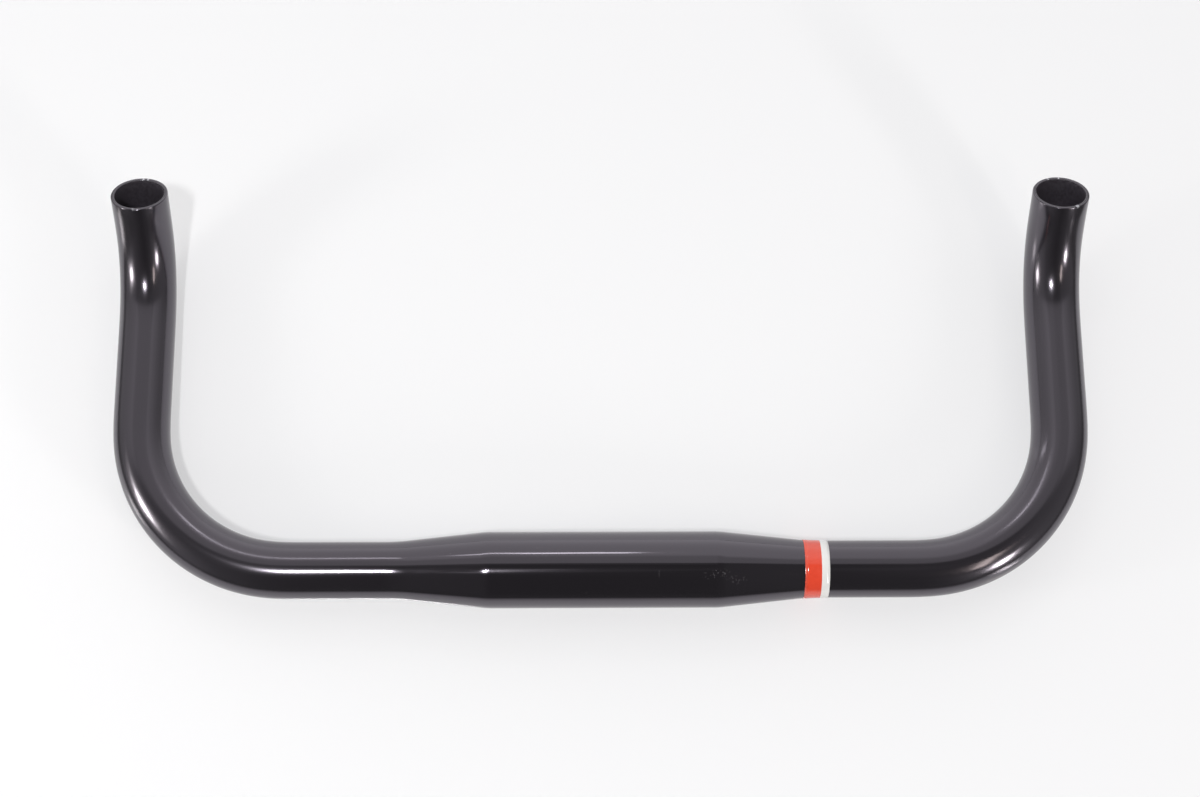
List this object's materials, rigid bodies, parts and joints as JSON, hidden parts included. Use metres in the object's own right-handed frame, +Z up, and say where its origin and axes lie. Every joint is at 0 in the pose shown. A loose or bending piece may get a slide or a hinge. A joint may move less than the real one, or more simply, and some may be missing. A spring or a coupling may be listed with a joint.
{
  "type": "bullhorn handlebar",
  "caption": "Black tube handlebar with a thick clamp zone, tapers, forward bends and upturned open horns, for a bicycle's stem.",
  "frame": {"origin": "centre of the stem clamp zone, on the axis of the tube", "axes": "+X along the clamp zone towards the grip with the printed band, +Y forwards to the horns, +Z up as the bar lies on its underside"},
  "size_m": [0.4138, 0.1818, 0.0495],
  "materials": {
    "black_tube": "gloss black",
    "printed_band": "gloss film"
  },
  "bodies": {
    "root": {"handlebar_tube": "black_tube", "label_band": "printed_band"}
  },
  "joints": []
}
